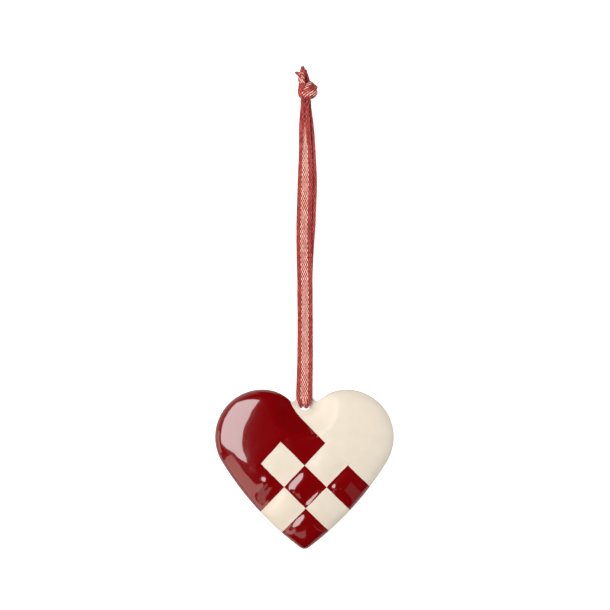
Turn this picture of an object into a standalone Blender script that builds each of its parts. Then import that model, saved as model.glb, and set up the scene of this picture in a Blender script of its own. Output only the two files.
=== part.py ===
"""A puffed metal heart ornament on a woven ribbon, lying on its back.

The heart is two pressed sheets closed round a thin seam rim, with a pierced tab between its lobes. It is a sealed
hollow, so it is one solid. The ribbon goes through the hole, and both of its ends are tied in one knot.

The origin is under the middle of the heart, on the surface that it lies on. +X is the heart's right as its front
is seen, +Y runs from its point up past the tab to the knot, and +Z is the way that the front faces. Metres.
"""

import math

import bmesh
import bpy
import numpy as np
from mathutils import Matrix, Vector

MM = 0.001

# The heart's outline, seen from the front
HEART_WIDTH = 65.0 * MM
HEART_HEIGHT = 58.0 * MM
LOBE_RADIUS = 17.3 * MM
CLEFT_GAP = 1.6 * MM
SIDE_RADIUS = 112.0 * MM
TIP_RADIUS = 2.6 * MM

# The tab between the lobes and the hole through it
HOLE_DIAMETER = 4.1 * MM
HOLE_DROP = 5.66 * MM
TAB_WALL = 1.95 * MM
TAB_FILLET = 1.0 * MM

# The two domes and the seam that joins them
FRONT_RISE = 5.6 * MM
BACK_RISE = 5.6 * MM
SEAM_THICKNESS = 0.9 * MM
SEAM_WIDTH = 0.5 * MM
SEAM_BEVEL = 0.2 * MM
VALLEY_LENGTH = 9.0 * MM
REST_SPOT_DEPTH = 0.15 * MM

# The ribbon: lying open, and gathered where it goes into the knot
RIBBON_WIDTH = 6.0 * MM
RIBBON_THICKNESS = 0.7 * MM
GATHERED_WIDTH = 3.7 * MM
GATHERED_THICKNESS = 1.2 * MM
GATHER_LENGTH = 17.0 * MM

# The ribbon in the hole, where it is folded double and pulled towards the hole's upper edge
THREAD_SHIFT = 0.2 * MM
FOLDED_LENGTH = 1.1 * MM
UNFOLDING_LENGTH = 3.4 * MM

# The gaps between neighbours, and under what lies on the surface
CLEARANCE = 0.3 * MM
TABLE_CLEARANCE = 0.05 * MM

# The knot, past the ends of the legs: a core, a turn round it, a band over its shoulder and two tails.
# Each band has its place on the core, from -1 at the lower end to 1 at the upper, and its lean
NECK_LENGTH = 0.3 * MM
KNOT_SIDE = 0.65 * MM
KNOT_RADII = (2.7 * MM, 2.9 * MM, 2.35 * MM)
BAND_WIDTH = 2.7 * MM
BAND_THICKNESS = 1.0 * MM
TURN_PLACE, TURN_LEAN = -0.77, math.radians(22)
SHOULDER_PLACE, SHOULDER_LEAN = 0.9, math.radians(48)
TAIL_WIDTH = 2.6 * MM
TAIL_THICKNESS = 0.9 * MM
TAIL_CUT_SHARE = 0.4
TAIL_ACROSS = (0.9, 0.1, 0.3)

# The ribbon's legs from the hole to the knot, each point as its shift to the right and its distance past the
# middle of the hole, in millimetres, and its lift: 0 lying down, 1 at the tab's face
FRONT_ROUTE = (
    (0.0, 0.5, 1.0),
    (0.0, 2.4, 1.03),
    (0.0, 5.5, 0.96),
    (0.0, 10.0, 0.80),
    (0.0, 16.0, 0.52),
    (0.0, 23.0, 0.25),
    (0.0, 31.0, 0.07),
    (0.0, 40.0, 0.01),
    (-0.05, 52.0, 0.0),
    (-0.1, 66.0, 0.0),
    (0.0, 80.0, 0.0),
    (0.15, 92.0, 0.0),
    (0.35, 101.0, 0.0),
    (0.45, 107.0, 0.0),
    (0.5, 110.6, 0.0),
)
BACK_ROUTE = (
    (0.0, 0.5, 1.0),
    (0.0, 2.4, 0.98),
    (0.0, 5.0, 0.85),
    (0.0, 9.0, 0.60),
    (0.1, 14.0, 0.32),
    (0.2, 20.0, 0.10),
    (0.3, 27.0, 0.02),
    (0.5, 40.0, 0.0),
    (1.0, 52.0, 0.0),
    (1.6, 66.0, 0.0),
    (1.75, 80.0, 0.0),
    (1.3, 92.0, 0.0),
    (0.8, 101.0, 0.0),
    (0.55, 107.0, 0.0),
    (0.5, 110.6, 0.0),
)

# Each tail's route from the middle of the knot, in millimetres: to the right, along and up
UPRIGHT_TAIL = ((-0.2, 0.8, -0.3), (-0.4, 3.1, -0.2), (-0.75, 6.0, -0.4), (-1.3, 8.0, -0.6), (-1.75, 9.2, -0.8))
LEFT_TAIL = ((-1.0, 0.3, 0.9), (-1.8, 2.6, 1.3), (-2.0, 4.6, 1.2), (-2.7, 6.0, 0.9), (-4.0, 6.6, 0.7))

# How finely the curves are divided
OUTLINE_STEP = 2.0 * MM
RING_SHARES = (1.0, 0.988, 0.968, 0.938, 0.894, 0.83, 0.74, 0.62, 0.47, 0.31, 0.15)
HOLE_SIDES = 28
BEND_STEP = 0.8 * MM
BEND_LENGTH = 8.0 * MM
LEG_STEP = 3.2 * MM
BAND_SIDES = 20
CORE_SIDES, CORE_RINGS = 16, 10
SHARP_ANGLE = math.radians(40)


def hole_centre():
    return Vector((0.0, HEART_HEIGHT / 2 - HOLE_DROP, 0.0))


def seam_height():
    """The height of the plane where the two domes meet, with the heart resting on its back."""
    return BACK_RISE + SEAM_THICKNESS / 2 - REST_SPOT_DEPTH


def smooth_step(share):
    share = np.clip(share, 0.0, 1.0)
    return share * share * (3 - 2 * share)


def circles_meet(centre_a, radius_a, centre_b, radius_b):
    """The crossing of two circles that lies to the left of the way from a to b."""
    across = centre_b - centre_a
    along = (radius_a**2 - radius_b**2 + across.length_squared) / (2 * across.length)
    aside = math.sqrt(radius_a**2 - along**2)
    forward = across.normalized()
    return centre_a + forward * along + Vector((-forward.y, forward.x, 0.0)) * aside


def bearing(centre, point):
    return math.atan2(point.y - centre.y, point.x - centre.x)


def side_and_tip(lobe, leaving):
    """The middles of the long side's arc and of the tip's, where the side leaves the lobe at that bearing."""
    reach = SIDE_RADIUS - LOBE_RADIUS
    side = lobe - Vector((math.cos(leaving), math.sin(leaving), 0.0)) * reach
    drop = math.sqrt((SIDE_RADIUS - TIP_RADIUS) ** 2 - side.x**2)
    return side, Vector((0.0, side.y - drop, 0.0))


def leaving_bearing(lobe):
    """The bearing at which the side leaves the lobe, so that the tip comes at the foot of the heart's height."""
    low, high = math.radians(-75), math.radians(-10)
    for _ in range(50):
        middle = (low + high) / 2
        if side_and_tip(lobe, middle)[1].y - TIP_RADIUS < -HEART_HEIGHT / 2:
            high = middle
        else:
            low = middle
    return (low + high) / 2


def arc_points(centre, radius, start, end, outward=1):
    """Points and outward normals along an arc, without its last point. A hollow arc has outward at -1."""
    steps = max(3, round(abs(end - start) * radius / OUTLINE_STEP))
    found = []
    for k in range(steps):
        angle = start + (end - start) * k / steps
        ray = Vector((math.cos(angle), math.sin(angle), 0.0))
        found.append((centre + ray * radius, ray * outward))
    return found


def heart_outline():
    """The closed outline as points with outward normals: its right half from the tab to the tip, then its left.

    Each lobe has an inner arc, towards the tab, that would pass its mirror image with CLEFT_GAP between them.
    """
    hole = hole_centre()
    tab_radius = HOLE_DIAMETER / 2 + TAB_WALL
    lobe = Vector((HEART_WIDTH / 2 - LOBE_RADIUS, HEART_HEIGHT / 2 - LOBE_RADIUS, 0.0))
    cleft_radius = lobe.x - CLEFT_GAP / 2
    cleft = Vector((lobe.x, HEART_HEIGHT / 2 - cleft_radius, 0.0))
    fillet = circles_meet(hole, tab_radius + TAB_FILLET, cleft, cleft_radius + TAB_FILLET)
    leaving = leaving_bearing(lobe)
    side, tip = side_and_tip(lobe, leaving)
    top, foot = math.pi / 2, -math.pi / 2
    half = arc_points(hole, tab_radius, top, bearing(hole, fillet))
    half += arc_points(fillet, TAB_FILLET, bearing(fillet, hole), bearing(fillet, cleft), outward=-1)
    half += arc_points(cleft, cleft_radius, bearing(cleft, fillet), top)
    half += arc_points(lobe, LOBE_RADIUS, top, leaving)
    half += arc_points(side, SIDE_RADIUS, leaving, bearing(side, tip))
    half += arc_points(tip, TIP_RADIUS, bearing(side, tip), foot)
    half.append((tip + Vector((0.0, -TIP_RADIUS, 0.0)), Vector((0.0, -1.0, 0.0))))
    mirror = Matrix.Scale(-1, 3, Vector((1.0, 0.0, 0.0)))
    other = [(mirror @ point, mirror @ normal) for point, normal in half[1:-1]]
    return half + other[::-1]


def depth_inside(points, foot):
    """A smooth measure of how far inside the domes' foot line each point is.

    It grows like the distance near the line and levels out in the middle, with no crease anywhere.
    """
    to_start = foot[None] - points[:, None]
    to_end = np.roll(to_start, -1, axis=1)
    near = np.hypot(to_start[..., 0], to_start[..., 1])
    next_near = np.roll(near, -1, axis=1)
    cross = to_start[..., 0] * to_end[..., 1] - to_start[..., 1] * to_end[..., 0]
    dot = (to_start * to_end).sum(axis=-1)
    weights = np.tan(np.arctan2(cross, dot) / 2) * (1 / near + 1 / next_near)
    return 2 / np.abs(weights.sum(axis=1))


def dome_shares(points, foot):
    """The domes' height at each point, as a share of their rise: 0 on the tab, 1 at the crown.

    The square root makes them steep at the foot and ever flatter towards the crown, like a blown-up skin.
    """
    depth = depth_inside(points, foot)
    rounded = np.sqrt(depth / depth.max())
    hole = hole_centre()
    past_tab = np.hypot(points[:, 0] - hole.x, points[:, 1] - hole.y) - HOLE_DIAMETER / 2 - TAB_WALL
    return rounded * smooth_step(past_tab / VALLEY_LENGTH)


def object_from(bm, name, material):
    bmesh.ops.recalc_face_normals(bm, faces=bm.faces)
    mesh = bpy.data.meshes.new(name)
    bm.to_mesh(mesh)
    bm.free()
    mesh.shade_smooth()
    mesh.set_sharp_from_angle(angle=SHARP_ANGLE)
    mesh.materials.append(material)
    obj = bpy.data.objects.new(name, mesh)
    bpy.context.scene.collection.objects.link(obj)
    return obj


def helper_from(bm, name, material):
    """A shape that only cuts or joins another, and isn't a piece itself."""
    helper = object_from(bm, name, material)
    helper.hide_render = True
    helper.display_type = "WIRE"
    return helper


def boolean(obj, other, operation):
    modifier = obj.modifiers.new(operation.title() + " " + other.name, "BOOLEAN")
    modifier.operation = operation
    modifier.object = other


def bridge(bm, ring, other):
    """Faces between two rings of as many vertices."""
    for k in range(len(ring)):
        after = (k + 1) % len(ring)
        bm.faces.new((ring[k], ring[after], other[after], other[k]))


def fan(bm, ring, centre):
    middle = bm.verts.new(centre)
    for k in range(len(ring)):
        bm.faces.new((ring[k], ring[(k + 1) % len(ring)], middle))


def heart_mesh():
    """The closed heart without its hole: a stack of rings from the front's crown over the seam to the back's."""
    outline = heart_outline()
    foot = np.array([(point - normal * SEAM_WIDTH)[:2] for point, normal in outline])
    inner = np.concatenate([foot * share for share in RING_SHARES[1:]] + [np.zeros((1, 2))])
    places = np.concatenate([foot, inner])
    shares = np.concatenate([np.zeros(len(foot)), dome_shares(inner, foot)])
    middle, half_seam = seam_height(), SEAM_THICKNESS / 2
    bm = bmesh.new()

    def dome(rise, facing):
        """One dome's rings from its foot inward, and its crown."""
        heights = np.maximum(middle + facing * (half_seam + rise * shares), 0.0)
        spots = np.column_stack([places, heights])
        starts = range(0, len(inner), len(foot))
        return [[bm.verts.new(spot) for spot in spots[k : k + len(foot)]] for k in starts], spots[-1]

    def rim(inset, level):
        return [bm.verts.new((*(point - normal * inset)[:2], level)) for point, normal in outline]

    front, front_crown = dome(FRONT_RISE, 1)
    back, back_crown = dome(BACK_RISE, -1)
    upper, lower = middle + half_seam, middle - half_seam
    edge = [rim(SEAM_BEVEL, upper), rim(0.0, upper - SEAM_BEVEL), rim(0.0, lower + SEAM_BEVEL)]
    edge.append(rim(SEAM_BEVEL, lower))
    stack = front[::-1] + edge + back
    for ring, other in zip(stack, stack[1:]):
        bridge(bm, ring, other)
    fan(bm, front[-1], front_crown)
    fan(bm, back[-1], back_crown)
    return bm


def hole_mesh():
    bm = bmesh.new()
    bmesh.ops.create_cone(
        bm,
        cap_ends=True,
        segments=HOLE_SIDES,
        radius1=HOLE_DIAMETER / 2,
        radius2=HOLE_DIAMETER / 2,
        depth=4 * SEAM_THICKNESS,
        matrix=Matrix.Translation(hole_centre() + Vector((0.0, 0.0, seam_height()))),
    )
    return bm


def heart(enamel):
    obj = object_from(heart_mesh(), "heart", enamel)
    boolean(obj, helper_from(hole_mesh(), "hole_cutter", enamel), "DIFFERENCE")
    return obj


def smooth_line(points, step):
    """Points about a step apart on a smooth curve through the given ones."""
    line = []
    ends = [points[0] * 2 - points[1]] + list(points) + [points[-1] * 2 - points[-2]]
    for before, start, end, after in zip(ends, ends[1:], ends[2:], ends[3:]):
        first, span, last = (math.sqrt((b - a).length) for a, b in ((before, start), (start, end), (end, after)))
        leave = ((start - before) / first - (end - before) / (first + span)) * span + (end - start)
        arrive = (end - start) - ((after - start) / (span + last) - (after - end) / last) * span
        steps = max(1, round((end - start).length / step))
        for k in range(steps):
            t = k / steps
            line.append(
                start * (2 * t**3 - 3 * t**2 + 1)
                + leave * (t**3 - 2 * t**2 + t)
                + end * (3 * t**2 - 2 * t**3)
                + arrive * (t**3 - t**2)
            )
    return line + [points[-1]]


def section(width, thickness):
    """A flat section with rounded edges, as shifts across and through the ribbon."""
    half = thickness / 2
    flat = width / 2 - half
    slant = half * math.sqrt(0.5)
    right = [(flat, -half), (flat + slant, -slant), (flat + half, 0.0), (flat + slant, slant), (flat, half)]
    return right + [(-across, -through) for across, through in right]


def strip_mesh(line, sizes, side):
    """A ribbon swept along a line with its width and thickness at each point, flat across the side direction."""
    bm = bmesh.new()
    rings = []
    for k, point in enumerate(line):
        forward = (line[min(k + 1, len(line) - 1)] - line[max(k - 1, 0)]).normalized()
        across = (side - forward * side.dot(forward)).normalized()
        through = across.cross(forward)
        rings.append([bm.verts.new(point + across * a + through * t) for a, t in section(*sizes[k])])
    for ring, other in zip(rings, rings[1:]):
        bridge(bm, ring, other)
    bm.faces.new(rings[0])
    bm.faces.new(rings[-1])
    return bm


def gathered_share(along):
    """How far the ribbon is gathered at this distance past the hole: 0 lying open, 1 at the knot."""
    return float(smooth_step((along - FRONT_ROUTE[-1][1] * MM) / GATHER_LENGTH + 1))


def leg_size(point, start):
    """The ribbon's width and thickness at a point of a leg that starts in the hole."""
    folded_thickness = 2 * RIBBON_THICKNESS
    room = HOLE_DIAMETER / 2 - CLEARANCE
    folded_width = 2 * math.sqrt(room**2 - (folded_thickness / 2 + THREAD_SHIFT) ** 2)
    open_share = float(smooth_step(((point - start).length - FOLDED_LENGTH) / UNFOLDING_LENGTH))
    gathered = gathered_share(point.y - hole_centre().y)
    width = folded_width + (RIBBON_WIDTH - folded_width) * open_share
    thickness = folded_thickness + (RIBBON_THICKNESS - folded_thickness) * open_share
    width += (GATHERED_WIDTH - RIBBON_WIDTH) * gathered
    thickness += (GATHERED_THICKNESS - RIBBON_THICKNESS) * gathered
    return width, thickness


def leg(name, route, facing, lying, gathered_height, weave):
    """One leg of the ribbon, from the middle of the hole to the knot, on the heart's face that facing says."""
    hole, seam = hole_centre(), seam_height()
    over_tab = seam + facing * (SEAM_THICKNESS / 2 + CLEARANCE + RIBBON_THICKNESS + THREAD_SHIFT)
    points = [hole + Vector((0.0, -THREAD_SHIFT, seam + facing * CLEARANCE / 2))]
    points.append(hole + Vector((0.0, -THREAD_SHIFT, seam + facing * SEAM_THICKNESS / 2)))
    for aside, along, lift in route:
        gathering = (gathered_height - lying) * gathered_share(along * MM)
        height = lying + (over_tab - lying) * lift + gathering
        points.append(hole + Vector((aside * MM, along * MM, height)))
    line = []
    for point in smooth_line(points, BEND_STEP):
        in_bend = (point - points[0]).length < BEND_LENGTH
        if in_bend or (point - line[-1]).length > LEG_STEP:
            line.append(point)
    line[-1] = points[-1]
    sizes = [leg_size(point, points[0]) for point in line]
    return object_from(strip_mesh(line, sizes, Vector((1.0, 0.0, 0.0))), name, weave)


def neck_start():
    """The middle of the knot's flat end, which faces both legs' ends."""
    aside, along, _ = FRONT_ROUTE[-1]
    height = TABLE_CLEARANCE + GATHERED_THICKNESS + CLEARANCE / 2
    return hole_centre() + Vector((aside * MM, along * MM + CLEARANCE, height))


def knot_centre():
    start = neck_start()
    height = TABLE_CLEARANCE + BAND_THICKNESS + KNOT_RADII[2]
    return Vector((start.x + KNOT_SIDE, start.y + NECK_LENGTH + KNOT_RADII[1], height))


def core_mesh():
    bm = bmesh.new()
    shape = Matrix.Translation(knot_centre()) @ Matrix.Diagonal((*KNOT_RADII, 1.0))
    bmesh.ops.create_uvsphere(bm, u_segments=CORE_SIDES, v_segments=CORE_RINGS, radius=1.0, matrix=shape)
    return bm


def band_mesh(place_on_core, lean):
    """A turn of ribbon that hugs the core, as a leaning ring."""
    bm = bmesh.new()
    turn = Matrix.Rotation(lean, 3, "Z")
    middle = place_on_core * (KNOT_RADII[1] - BAND_WIDTH / 2)
    rings = []
    for k in range(BAND_SIDES):
        angle = 2 * math.pi * k / BAND_SIDES
        outward = Vector((math.cos(angle), 0.0, math.sin(angle)))
        on_core = Vector((outward.x * KNOT_RADII[0], 0.0, outward.z * KNOT_RADII[2]))
        ring = []
        for across, out in section(BAND_WIDTH, BAND_THICKNESS):
            along = middle + across
            hug = math.sqrt(1 - (along / KNOT_RADII[1]) ** 2)
            place = on_core * hug + outward * (out + BAND_THICKNESS / 4) + Vector((0.0, along, 0.0))
            ring.append(bm.verts.new(knot_centre() + turn @ place))
        rings.append(ring)
    for ring, other in zip(rings, rings[1:] + rings[:1]):
        bridge(bm, ring, other)
    return bm


def tail_mesh(route):
    """A tail of the ribbon, whose last third narrows to its cut end."""
    line = smooth_line([knot_centre() + Vector(point) * MM for point in route], BEND_STEP)
    sizes = []
    for k in range(len(line)):
        narrowing = float(smooth_step(3 * k / (len(line) - 1) - 2))
        sizes.append((TAIL_WIDTH * (1 - (1 - TAIL_CUT_SHARE) * narrowing), TAIL_THICKNESS))
    return strip_mesh(line, sizes, Vector(TAIL_ACROSS).normalized())


def neck_mesh():
    """The gathered ribbon under the knot, both legs together."""
    start = neck_start()
    line = [start, start + Vector((0.0, GATHERED_THICKNESS, 0.0)), knot_centre()]
    both = 2 * GATHERED_THICKNESS + CLEARANCE
    return strip_mesh(line, [(GATHERED_WIDTH, both)] * 3, Vector((1.0, 0.0, 0.0)))


def knot(weave):
    obj = object_from(core_mesh(), "ribbon_knot", weave)
    shapes = {
        "knot_turn": band_mesh(TURN_PLACE, TURN_LEAN),
        "knot_shoulder": band_mesh(SHOULDER_PLACE, SHOULDER_LEAN),
        "knot_upright_tail": tail_mesh(UPRIGHT_TAIL),
        "knot_left_tail": tail_mesh(LEFT_TAIL),
        "knot_neck": neck_mesh(),
    }
    for name, bm in shapes.items():
        boolean(obj, helper_from(bm, name, weave), "UNION")
    return obj


def material(name, colour, roughness):
    made = bpy.data.materials.new(name)
    made.use_nodes = True
    shader = made.node_tree.nodes["Principled BSDF"]
    shader.inputs["Base Color"].default_value = (*colour, 1.0)
    shader.inputs["Roughness"].default_value = roughness
    shader.inputs["Metallic"].default_value = 0.0
    return made


def main():
    for obj in list(bpy.data.objects):
        bpy.data.objects.remove(obj)
    enamel = material("red enamel", (0.19, 0.004, 0.008), 0.12)
    weave = material("woven ribbon", (0.42, 0.07, 0.06), 0.85)
    heart(enamel)
    lying = TABLE_CLEARANCE + RIBBON_THICKNESS / 2
    gathered = TABLE_CLEARANCE + GATHERED_THICKNESS / 2
    leg("ribbon_back", BACK_ROUTE, -1, lying, gathered, weave)
    lying += RIBBON_THICKNESS + CLEARANCE
    gathered += GATHERED_THICKNESS + CLEARANCE
    leg("ribbon_front", FRONT_ROUTE, 1, lying, gathered, weave)
    knot(weave)


main()
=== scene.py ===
# %% [markdown]
# # A puffed enamelled heart on a woven ribbon
#
# The real object is two pressed sheets of metal, closed round a thin seam and covered with thick glossy enamel. A
# ribbon goes through the hole in its tab and is knotted. Here it lies on a table and the camera looks straight
# down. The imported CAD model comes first, because each piece that follows is a more detailed copy of one of its
# solids and has to stay in the same place.

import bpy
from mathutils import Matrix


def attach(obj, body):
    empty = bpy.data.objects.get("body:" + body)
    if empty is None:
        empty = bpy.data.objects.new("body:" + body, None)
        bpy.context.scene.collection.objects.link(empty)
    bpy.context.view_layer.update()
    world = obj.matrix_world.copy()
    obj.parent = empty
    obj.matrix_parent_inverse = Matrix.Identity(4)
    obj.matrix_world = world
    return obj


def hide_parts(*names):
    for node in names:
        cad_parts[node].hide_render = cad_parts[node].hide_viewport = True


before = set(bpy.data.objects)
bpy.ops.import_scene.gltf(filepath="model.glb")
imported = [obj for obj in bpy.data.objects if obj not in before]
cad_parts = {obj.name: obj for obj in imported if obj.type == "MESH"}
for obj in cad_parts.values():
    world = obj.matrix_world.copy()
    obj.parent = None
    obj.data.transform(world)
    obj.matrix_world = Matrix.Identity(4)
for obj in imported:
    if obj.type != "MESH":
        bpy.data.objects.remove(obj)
print("the packed model has", len(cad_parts), "nodes")

# %% Bring in the tools and keep the model's own box
import math
from functools import partial

import bmesh
import bpy
import numpy as np
from mathutils import Matrix, Vector

MM = 0.001


def in_mm(values):
    """Metres as rounded millimetres, for printing."""
    return np.round(np.array(values) / MM, 2).tolist()


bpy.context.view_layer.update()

# %% [markdown]
# ## The camera
#
# The camera could be placed by eye until the picture looks right. It is worked out instead: one pixel of the
# photograph covers 0.3636 mm of the heart's front, so the whole picture is 222 mm wide. A long lens from almost a
# metre away keeps the ribbon from looking larger near its middle, as it does in the photograph.

# %% The camera
PIXEL = 0.3636 * MM
PICTURE_WIDTH = 610 * PIXEL
LOOK_AT = Vector((0.22, 59.7, 5.9)) * MM
CAMERA_HEIGHT = 0.95

camera_data = bpy.data.cameras.new("camera")
camera_data.sensor_width = 36.0
camera_data.lens = camera_data.sensor_width * CAMERA_HEIGHT / PICTURE_WIDTH
camera_data.clip_start = 0.01
camera = bpy.data.objects.new("camera", camera_data)
camera.location = LOOK_AT + Vector((0.0, 0.0, CAMERA_HEIGHT))
bpy.context.scene.collection.objects.link(camera)
bpy.context.scene.camera = camera
print("lens in mm:", round(camera_data.lens, 1))

# %% [markdown]
# ## Where the ribbon lies
#
# A ribbon is one limp strip that is pulled through the hole, and both halves go up to the knot. Each half could be
# drawn as a free curve, but the model's solids already have a route, and the detailed ribbon has to lie in the same
# place. So the routes are repeated here: the shift to the right and the distance past the hole in millimetres, and
# the lift, which is 1 on the tab and 0 on the table. Real cloth wanders a few tenths of a millimetre from so smooth
# a route, and the drifts say how far.

# %% The routes of the ribbon's two legs
HOLE = Vector((0.0, 23.34, 0.0)) * MM
HOLE_DIAMETER = 4.1 * MM
SEAM_HEIGHT = 5.9 * MM
SEAM_THICKNESS = 0.9 * MM
THREAD_SHIFT = 0.2 * MM
OVER_TAB = 1.2 * MM
FRONT_AT_KNOT = 2.15 * MM
GATHER_LENGTH = 17.0 * MM
LEG_END = 110.6 * MM

# Shift to the right and distance past the hole, both in millimetres, and the lift
FRONT_ROUTE = ((0.0, 0.5, 1.0), (0.0, 2.4, 1.03), (0.0, 5.5, 0.96), (0.0, 10.0, 0.80), (0.0, 16.0, 0.52),
               (0.0, 23.0, 0.25), (0.0, 31.0, 0.07), (0.0, 40.0, 0.01), (-0.05, 52.0, 0.0), (-0.1, 66.0, 0.0),
               (0.0, 80.0, 0.0), (0.15, 92.0, 0.0), (0.35, 101.0, 0.0), (0.45, 107.0, 0.0), (0.5, 110.6, 0.0))
BACK_ROUTE = ((0.0, 0.5, 1.0), (0.0, 2.4, 0.98), (0.0, 5.0, 0.85), (0.0, 9.0, 0.60), (0.1, 14.0, 0.32),
              (0.2, 20.0, 0.10), (0.3, 27.0, 0.02), (0.5, 40.0, 0.0), (1.0, 52.0, 0.0), (1.6, 66.0, 0.0),
              (1.75, 80.0, 0.0), (1.3, 92.0, 0.0), (0.8, 101.0, 0.0), (0.55, 107.0, 0.0), (0.5, 110.6, 0.0))
# Distance past the hole and shift to the right, both in millimetres
FRONT_DRIFT = ((0, 0), (4.7, -0.09), (7.6, 0.02), (13.5, 0.2), (31, 0.25), (42.5, 0.24), (48.4, 0.1), (54, -0.05),
               (60, -0.1), (66, -0.08), (72, 0.08), (77.4, 0.2), (83.3, 0.3), (89, 0.22), (94, 0.12), (98.5, -0.15),
               (103, -0.33), (107, -0.38), (110.6, -0.3))
BACK_DRIFT = ((0, 0), (20, 0.1), (31, -0.05), (42.5, -0.45), (48.4, -0.6), (54, -0.6), (60, -0.5), (66, -0.28),
              (72, -0.2), (77.4, 0.0), (83.3, 0.15), (89, 0.35), (94, 0.5), (98.5, 0.6), (103, 0.6), (107, 0.5),
              (110.6, 0.3))


def smooth_step(share):
    """From 0 to 1 without a corner, and level outside."""
    share = np.clip(share, 0.0, 1.0)
    return share * share * (3 - 2 * share)


def smooth_line(points, step):
    """Points about a step apart on a smooth curve through the given ones."""
    line = []
    ends = [points[0] * 2 - points[1]] + list(points) + [points[-1] * 2 - points[-2]]
    for before, start, end, after in zip(ends, ends[1:], ends[2:], ends[3:]):
        first, span, last = (math.sqrt((b - a).length) for a, b in ((before, start), (start, end), (end, after)))
        leave = ((start - before) / first - (end - before) / (first + span)) * span + (end - start)
        arrive = (end - start) - ((after - start) / (span + last) - (after - end) / last) * span
        steps = max(1, round((end - start).length / step))
        for k in range(steps):
            t = k / steps
            line.append(
                start * (2 * t**3 - 3 * t**2 + 1)
                + leave * (t**3 - 2 * t**2 + t)
                + end * (3 * t**2 - 2 * t**3)
                + arrive * (t**3 - t**2)
            )
    return line + [points[-1]]


def leg_line(route, drift, facing, lying, gathered):
    """The middle line of one leg, from the middle of the hole to the knot."""
    places, shifts = zip(*drift)
    over_tab = SEAM_HEIGHT + facing * (SEAM_THICKNESS / 2 + OVER_TAB)
    into_hole = HOLE - Vector((0.0, THREAD_SHIFT, 0.0))
    points = [into_hole + Vector((0.0, 0.0, SEAM_HEIGHT))]
    points.append(points[0] + Vector((0.0, 0.0, facing * SEAM_THICKNESS / 2)))
    for aside, along, lift in route:
        gathering = (gathered - lying) * float(smooth_step((along * MM - LEG_END) / GATHER_LENGTH + 1))
        height = lying + (over_tab - lying) * lift + gathering
        points.append(HOLE + Vector((aside * MM, along * MM, height)))
    line = smooth_line(points, step=0.4 * MM)
    for point in line:
        point.x += float(np.interp((point.y - HOLE.y) / MM, places, shifts)) * MM
    return line


front_line = leg_line(FRONT_ROUTE, FRONT_DRIFT, 1, lying=1.4 * MM, gathered=FRONT_AT_KNOT)
back_line = leg_line(BACK_ROUTE, BACK_DRIFT, -1, lying=0.42 * MM, gathered=0.68 * MM)


def line_length(line):
    return sum((b - a).length for a, b in zip(line, line[1:]))


print("legs in mm:", in_mm([line_length(front_line), line_length(back_line)]))

# %% [markdown]
# ## A flat strip of ribbon
#
# A ribbon keeps its own width when it is gathered: it folds lengthwise, so it looks narrower and thicker. A plain
# sweep of one section can't do that. Here each section is a wave that is as wide as the ribbon looks at that place,
# and its points are spaced evenly along the wave, so the pale stripe stays in the middle of the cloth and is
# squeezed with it. The strip gets a UV map, across and along the cloth, for whatever follows the cloth.

# %% A strip along a line
RIBBON_WIDTH = 6.0 * MM
CLOTH_THICKNESS = 0.34 * MM
# Steps of the mesh across the cloth, and the finer ones that measure how long a section is
ACROSS_STEPS, FINE_STEPS = 30, 400


def cloth_section(width, fold, cup, crease, valley=0.0, valley_share=0.1):
    """Shifts across and through the ribbon: two lengthwise humps, a cupped back, and a valley that takes cloth in."""
    share = np.linspace(-0.5, 0.5, FINE_STEPS + 1)
    across = width * share
    left, right = ((share - (crease + end) / 2) / ((end - crease) / 2) for end in (-0.5, 0.5))
    through = fold * (1 - 2 * np.minimum(left**2, right**2)) - cup * (2 * share) ** 2
    through -= valley * np.exp(-(((share - crease) / valley_share) ** 2))
    lengths = np.concatenate([[0.0], np.cumsum(np.hypot(np.diff(across), np.diff(through)))])
    even = np.linspace(0.0, lengths[-1], ACROSS_STEPS + 1)
    return np.interp(even, lengths, across), np.interp(even, lengths, through)


def strip_points(line, sections, side, facing=1):
    """The cloth's middle surface as rows of points, with the direction along it at each row."""
    rows, forwards = [], []
    for k, (point, (shifts, heights)) in enumerate(zip(line, sections)):
        forward = (line[min(k + 1, len(line) - 1)] - line[max(k - 1, 0)]).normalized()
        across = (side - forward * side.dot(forward)).normalized()
        through = across.cross(forward) * facing
        rows.append(np.array(point) + shifts[:, None] * np.array(across) + heights[:, None] * np.array(through))
        forwards.append(np.array(forward))
    return np.array(rows), np.array(forwards)


def surface_normals(rows, facing):
    """The cloth's outward directions, from its neighbours along and across."""
    along = np.gradient(rows, axis=0)
    across = np.gradient(rows, axis=1)
    normals = np.cross(across, along) * facing
    return normals / np.linalg.norm(normals, axis=2, keepdims=True)


def new_object(name, data):
    obj = bpy.data.objects.new(name, data)
    bpy.context.scene.collection.objects.link(obj)
    return obj


def new_mesh(name, points, faces, material=None):
    mesh = bpy.data.meshes.new(name)
    mesh.from_pydata(np.reshape(points, (-1, 3)).tolist(), [], faces)
    if material:
        mesh.materials.append(material)
    return mesh


def grid_faces(count, wide, closed=False):
    """Quads between rows of points. In a closed grid each row's last point is also next to its first."""
    faces = []
    for k in range(count - 1):
        for j in range(wide if closed else wide - 1):
            a, b = k * wide + j, k * wide + (j + 1) % wide
            faces.append((a, b, b + wide, a + wide))
    return faces


def face_outwards(mesh):
    bm = bmesh.new()
    bm.from_mesh(mesh)
    bmesh.ops.recalc_face_normals(bm, faces=bm.faces)
    bm.to_mesh(mesh)
    bm.free()


def strip_uvs(mesh, places):
    uv = mesh.uv_layers.new(name="cloth")
    corners = np.zeros(len(mesh.loops), dtype=np.int32)
    mesh.loops.foreach_get("vertex_index", corners)
    uv.data.foreach_set("uv", places[corners].astype(np.float32).ravel())


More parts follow.
